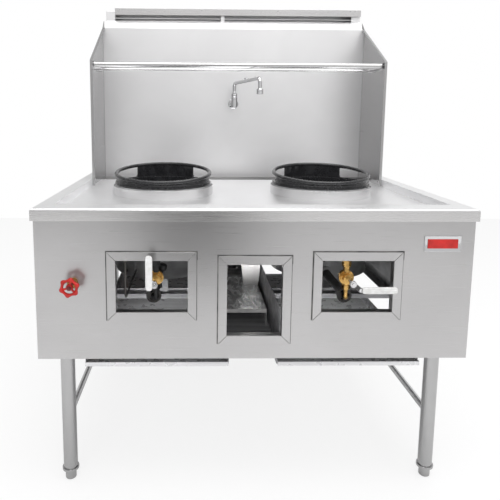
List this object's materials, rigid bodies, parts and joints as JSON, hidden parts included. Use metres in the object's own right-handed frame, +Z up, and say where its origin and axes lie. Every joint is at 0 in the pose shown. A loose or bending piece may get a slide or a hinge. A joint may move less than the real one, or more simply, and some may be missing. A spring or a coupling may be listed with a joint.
{
  "type": "wok range",
  "caption": "Stainless wok range on tube legs: fire chambers with lift-off wok rings, gas levers, slanted side wings, backsplash with flue riser and a swing spout.",
  "frame": {"origin": "on the floor, middle of the width and of the overall depth", "axes": "+Z up, front towards -Y, +X to the right as seen from the front"},
  "size_m": [1.219, 1.086, 1.536],
  "materials": {
    "panel_steel": "brushed",
    "bright_steel": "satin",
    "chrome": "polished",
    "black_cast": "gloss black enamel",
    "dark_steel": "matte",
    "black_pipe": "satin",
    "brass": "satin",
    "copper_tube": "satin",
    "white_sleeve": "matte",
    "red_enamel": "gloss"
  },
  "bodies": {
    "range_body": {"deck_pan": "panel_steel", "gutter": "panel_steel", "front_panel": "panel_steel", "rear_panel": "panel_steel", "side_panel_left": "panel_steel", "side_panel_right": "panel_steel", "window_frame_left": "panel_steel", "window_frame_centre": "panel_steel", "window_frame_right": "panel_steel", "backsplash": "panel_steel", "wing_left": "panel_steel", "wing_right": "panel_steel", "flue_riser": "panel_steel", "vent_cap": "panel_steel", "collar_left": "panel_steel", "collar_right": "panel_steel", "centre_shelf": "panel_steel", "name_plate": "bright_steel", "rack_rail_front": "bright_steel", "rack_rail_rear": "bright_steel", "side_rail_left": "bright_steel", "side_rail_right": "bright_steel", "leg_front_left": "bright_steel", "leg_front_right": "bright_steel", "leg_rear_left": "bright_steel", "leg_rear_right": "bright_steel", "faucet_body": "chrome", "burner_left": "black_cast", "burner_right": "black_cast", "chamber_left": "dark_steel", "chamber_right": "dark_steel", "underframe": "dark_steel", "tray_frame": "dark_steel", "gas_manifold": "black_pipe", "gas_valve_left": "brass", "gas_valve_right": "brass", "water_valve": "brass", "pilot_line_left": "copper_tube", "pilot_line_right": "copper_tube", "water_line": "copper_tube", "name_plate_field": "red_enamel"},
    "gas_lever_left": {"lever_left": "chrome", "lever_grip_left": "white_sleeve"},
    "gas_lever_right": {"lever_right": "chrome", "lever_grip_right": "white_sleeve"},
    "water_wheel": {"handwheel": "red_enamel", "spindle": "brass"},
    "water_gate": {"water_gate": "brass"},
    "swing_spout": {"faucet_spout": "chrome"},
    "wok_ring_left": {"wok_ring_left": "black_cast"},
    "wok_ring_right": {"wok_ring_right": "black_cast"},
    "drip_tray_left": {"drip_tray_left": "panel_steel"},
    "drip_tray_right": {"drip_tray_right": "panel_steel"},
    "gutter_strainer": {"gutter_strainer": "bright_steel"},
    "air_shutter_left": {"air_shutter_left": "black_cast"},
    "air_shutter_right": {"air_shutter_right": "black_cast"},
    "foot_front_left": {"foot_front_left": "bright_steel"},
    "foot_front_right": {"foot_front_right": "bright_steel"},
    "foot_rear_left": {"foot_rear_left": "bright_steel"},
    "foot_rear_right": {"foot_rear_right": "bright_steel"}
  },
  "joints": [
    {"name": "gas_lever_left_turn", "type": "hinge", "parent": "range_body", "child": "gas_lever_left", "pos_m": [-0.275, -0.457, 0.634], "axis": [0, 1, 0], "range_deg": [0, 90]},
    {"name": "gas_lever_right_turn", "type": "hinge", "parent": "range_body", "child": "gas_lever_right", "pos_m": [0.263, -0.457, 0.634], "axis": [0, 1, 0], "range_deg": [-90, 0]},
    {"name": "water_wheel_turn", "type": "hinge", "parent": "range_body", "child": "water_wheel", "pos_m": [-0.501, -0.417, 0.629], "axis": [0, -1, 0], "range_deg": [0, 1440]},
    {"name": "water_gate_lift", "type": "slide", "parent": "range_body", "child": "water_gate", "axis": [0, -1, 0], "range_m": [0, 0.01501]},
    {"name": "spout_swing", "type": "hinge", "parent": "range_body", "child": "swing_spout", "pos_m": [0, 0.351, 1.162], "axis": [0, 0, 1], "range_deg": [-105, 75]},
    {"name": "wok_ring_left_lift", "type": "slide", "parent": "range_body", "child": "wok_ring_left", "axis": [0, 0, 1], "range_m": [0, 0.1]},
    {"name": "wok_ring_right_lift", "type": "slide", "parent": "range_body", "child": "wok_ring_right", "axis": [0, 0, 1], "range_m": [0, 0.1]},
    {"name": "drip_tray_left_pull", "type": "slide", "parent": "range_body", "child": "drip_tray_left", "axis": [0, -1, 0], "range_m": [0, 0.75]},
    {"name": "drip_tray_right_pull", "type": "slide", "parent": "range_body", "child": "drip_tray_right", "axis": [0, -1, 0], "range_m": [0, 0.75]},
    {"name": "gutter_strainer_lift", "type": "slide", "parent": "range_body", "child": "gutter_strainer", "axis": [0, 0, 1], "range_m": [0, 0.08]},
    {"name": "air_shutter_left_turn", "type": "hinge", "parent": "range_body", "child": "air_shutter_left", "pos_m": [-0.284, -0.431, 0.572], "axis": [0, 1, 0], "range_deg": [-40, 40]},
    {"name": "air_shutter_right_turn", "type": "hinge", "parent": "range_body", "child": "air_shutter_right", "pos_m": [0.267, -0.431, 0.572], "axis": [0, 1, 0], "range_deg": [-40, 40]},
    {"name": "foot_front_left_screw", "type": "slide", "parent": "range_body", "child": "foot_front_left", "axis": [0, 0, -1], "range_m": [0, 0.025]},
    {"name": "foot_front_right_screw", "type": "slide", "parent": "range_body", "child": "foot_front_right", "axis": [0, 0, -1], "range_m": [0, 0.025]},
    {"name": "foot_rear_left_screw", "type": "slide", "parent": "range_body", "child": "foot_rear_left", "axis": [0, 0, -1], "range_m": [0, 0.025]},
    {"name": "foot_rear_right_screw", "type": "slide", "parent": "range_body", "child": "foot_rear_right", "axis": [0, 0, -1], "range_m": [0, 0.025]}
  ],
  "couplings": [
    {"joint": "water_gate_lift", "follows": "water_wheel_turn", "m_per_rad": 0.00059683}
  ]
}
